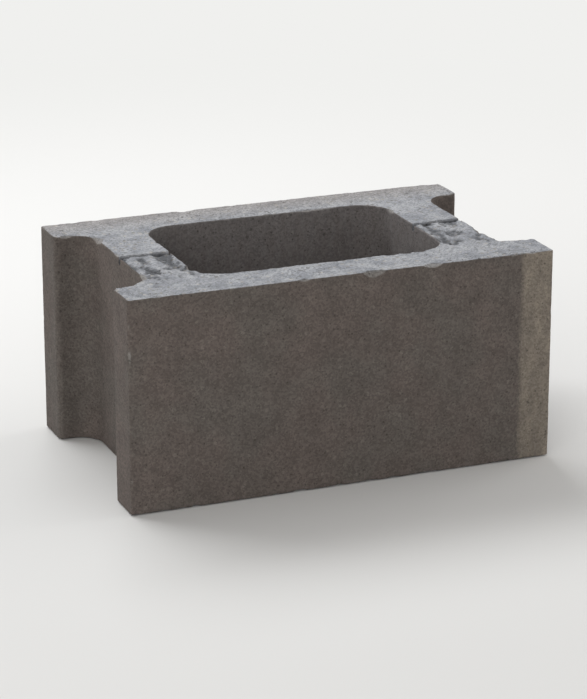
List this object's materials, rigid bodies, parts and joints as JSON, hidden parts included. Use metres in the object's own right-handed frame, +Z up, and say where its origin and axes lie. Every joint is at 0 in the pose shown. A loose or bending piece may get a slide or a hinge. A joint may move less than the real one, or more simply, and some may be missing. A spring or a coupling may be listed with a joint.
{
  "type": "concrete block",
  "caption": "Hollow concrete pier block with a large upright core through both beds and an upright recess in each end that takes the end of a wall panel.",
  "frame": {"origin": "middle of the lower bed face, on the floor", "axes": "+X along the block's length, +Z up, -Y towards the face that shows in the wall"},
  "size_m": [0.397, 0.244, 0.194],
  "materials": {
    "concrete": "rough, fine grained, unpainted"
  },
  "bodies": {
    "root": {"block": "concrete"}
  },
  "joints": []
}
